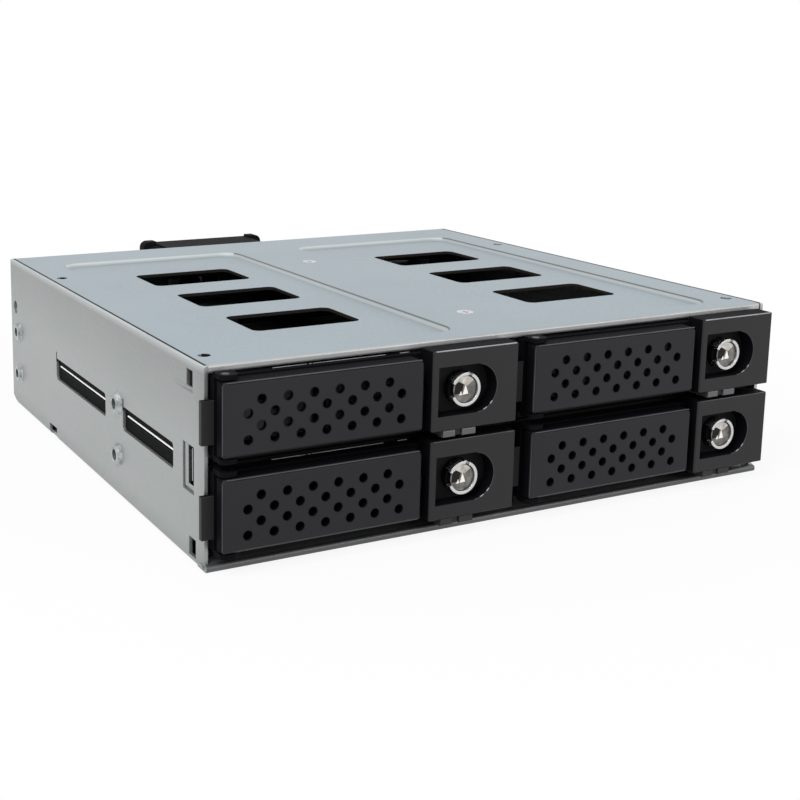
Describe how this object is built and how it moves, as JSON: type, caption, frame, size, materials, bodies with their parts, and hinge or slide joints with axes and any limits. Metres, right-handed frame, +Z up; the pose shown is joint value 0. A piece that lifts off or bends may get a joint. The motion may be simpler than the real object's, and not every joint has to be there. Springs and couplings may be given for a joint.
{
  "type": "hot swap drive cage",
  "caption": "Half-height bay cage for small drives in pull-out trays with perforated swing levers, key locks and a rear fan.",
  "frame": {"origin": "on the plane of the underside, in the middle of the whole object's length and width", "axes": "+X to the right along the front, +Y from the tray fronts back to the fan, +Z up"},
  "size_m": [0.1478, 0.159, 0.0413],
  "materials": {
    "cage_steel": "satin galvanised sheet",
    "cover_steel": "satin galvanised sheet, slightly blue",
    "inner_steel": "black satin",
    "sled_steel": "black satin",
    "screw_steel": "zinc plated",
    "pin_steel": "ground",
    "lock_chrome": "bright",
    "lock_metal": "dark satin",
    "tray_plastic": "fine texture",
    "lever_finish": "fine texture",
    "light_pipe": "translucent grey",
    "guide_plastic": "plain",
    "connector_plastic": "plain",
    "board": "solder mask",
    "standoff_brass": "turned",
    "fan_plastic": "plain"
  },
  "bodies": {
    "casing": {"base_pan": "cage_steel", "top_cover": "cover_steel", "cover_screws": "screw_steel", "mid_shelf": "inner_steel", "center_divider": "inner_steel", "side_guides": "guide_plastic", "runner_rails": "guide_plastic", "rear_panel": "cage_steel", "backplane_board": "board", "board_standoffs": "standoff_brass", "drive_connectors": "connector_plastic", "data_ports": "connector_plastic", "power_inlets": "connector_plastic", "fan_frame": "fan_plastic", "fan_screws": "screw_steel"},
    "fan": {"fan_rotor": "fan_plastic"},
    "tray_lower_left": {"bezel_lower_left": "tray_plastic", "lever_pin_lower_left": "pin_steel", "lock_ring_lower_left": "lock_chrome", "light_pipes_lower_left": "light_pipe", "tray_bracket_lower_left": "sled_steel", "sled_lower_left": "sled_steel"},
    "lever_lower_left": {"lever_lower_left": "lever_finish"},
    "lock_lower_left": {"lock_core_lower_left": "lock_metal"},
    "bolt_lower_left": {"lock_bolt_lower_left": "pin_steel"},
    "tray_lower_right": {"bezel_lower_right": "tray_plastic", "lever_pin_lower_right": "pin_steel", "lock_ring_lower_right": "lock_chrome", "light_pipes_lower_right": "light_pipe", "tray_bracket_lower_right": "sled_steel", "sled_lower_right": "sled_steel"},
    "lever_lower_right": {"lever_lower_right": "lever_finish"},
    "lock_lower_right": {"lock_core_lower_right": "lock_metal"},
    "bolt_lower_right": {"lock_bolt_lower_right": "pin_steel"},
    "tray_upper_left": {"bezel_upper_left": "tray_plastic", "lever_pin_upper_left": "pin_steel", "lock_ring_upper_left": "lock_chrome", "light_pipes_upper_left": "light_pipe", "tray_bracket_upper_left": "sled_steel", "sled_upper_left": "sled_steel"},
    "lever_upper_left": {"lever_upper_left": "lever_finish"},
    "lock_upper_left": {"lock_core_upper_left": "lock_metal"},
    "bolt_upper_left": {"lock_bolt_upper_left": "pin_steel"},
    "tray_upper_right": {"bezel_upper_right": "tray_plastic", "lever_pin_upper_right": "pin_steel", "lock_ring_upper_right": "lock_chrome", "light_pipes_upper_right": "light_pipe", "tray_bracket_upper_right": "sled_steel", "sled_upper_right": "sled_steel"},
    "lever_upper_right": {"lever_upper_right": "lever_finish"},
    "lock_upper_right": {"lock_core_upper_right": "lock_metal"},
    "bolt_upper_right": {"lock_bolt_upper_right": "pin_steel"}
  },
  "joints": [
    {"name": "fan_spin", "type": "hinge", "parent": "casing", "child": "fan", "pos_m": [-0.0065, 0.0695, 0.02065], "axis": [0, 1, 0], "continuous": true},
    {"name": "tray_slide_lower_left", "type": "slide", "parent": "casing", "child": "tray_lower_left", "axis": [0, -1, 0], "range_m": [0, 0.09]},
    {"name": "lever_swing_lower_left", "type": "hinge", "parent": "tray_lower_left", "child": "lever_lower_left", "pos_m": [-0.0696, -0.0773, 0.0126], "axis": [0, 0, -1], "range_deg": [0, 75]},
    {"name": "lock_turn_lower_left", "type": "hinge", "parent": "tray_lower_left", "child": "lock_lower_left", "pos_m": [-0.0155, -0.0769, 0.0124], "axis": [0, -1, 0], "range_deg": [0, 90]},
    {"name": "bolt_slide_lower_left", "type": "slide", "parent": "tray_lower_left", "child": "bolt_lower_left", "axis": [1, 0, 0], "range_m": [0, 0.001]},
    {"name": "tray_slide_lower_right", "type": "slide", "parent": "casing", "child": "tray_lower_right", "axis": [0, -1, 0], "range_m": [0, 0.09]},
    {"name": "lever_swing_lower_right", "type": "hinge", "parent": "tray_lower_right", "child": "lever_lower_right", "pos_m": [0.003, -0.0773, 0.0126], "axis": [0, 0, -1], "range_deg": [0, 75]},
    {"name": "lock_turn_lower_right", "type": "hinge", "parent": "tray_lower_right", "child": "lock_lower_right", "pos_m": [0.0571, -0.0769, 0.0124], "axis": [0, -1, 0], "range_deg": [0, 90]},
    {"name": "bolt_slide_lower_right", "type": "slide", "parent": "tray_lower_right", "child": "bolt_lower_right", "axis": [1, 0, 0], "range_m": [0, 0.001]},
    {"name": "tray_slide_upper_left", "type": "slide", "parent": "casing", "child": "tray_upper_left", "axis": [0, -1, 0], "range_m": [0, 0.09]},
    {"name": "lever_swing_upper_left", "type": "hinge", "parent": "tray_upper_left", "child": "lever_upper_left", "pos_m": [-0.0696, -0.0773, 0.03165], "axis": [0, 0, -1], "range_deg": [0, 75]},
    {"name": "lock_turn_upper_left", "type": "hinge", "parent": "tray_upper_left", "child": "lock_upper_left", "pos_m": [-0.0155, -0.0769, 0.03145], "axis": [0, -1, 0], "range_deg": [0, 90]},
    {"name": "bolt_slide_upper_left", "type": "slide", "parent": "tray_upper_left", "child": "bolt_upper_left", "axis": [1, 0, 0], "range_m": [0, 0.001]},
    {"name": "tray_slide_upper_right", "type": "slide", "parent": "casing", "child": "tray_upper_right", "axis": [0, -1, 0], "range_m": [0, 0.09]},
    {"name": "lever_swing_upper_right", "type": "hinge", "parent": "tray_upper_right", "child": "lever_upper_right", "pos_m": [0.003, -0.0773, 0.03165], "axis": [0, 0, -1], "range_deg": [0, 75]},
    {"name": "lock_turn_upper_right", "type": "hinge", "parent": "tray_upper_right", "child": "lock_upper_right", "pos_m": [0.0571, -0.0769, 0.03145], "axis": [0, -1, 0], "range_deg": [0, 90]},
    {"name": "bolt_slide_upper_right", "type": "slide", "parent": "tray_upper_right", "child": "bolt_upper_right", "axis": [1, 0, 0], "range_m": [0, 0.001]}
  ],
  "couplings": [
    {"joint": "lock_turn_lower_left", "follows": "bolt_slide_lower_left", "rad_per_m": 1570},
    {"joint": "lock_turn_lower_right", "follows": "bolt_slide_lower_right", "rad_per_m": 1570},
    {"joint": "lock_turn_upper_left", "follows": "bolt_slide_upper_left", "rad_per_m": 1570},
    {"joint": "lock_turn_upper_right", "follows": "bolt_slide_upper_right", "rad_per_m": 1570}
  ]
}
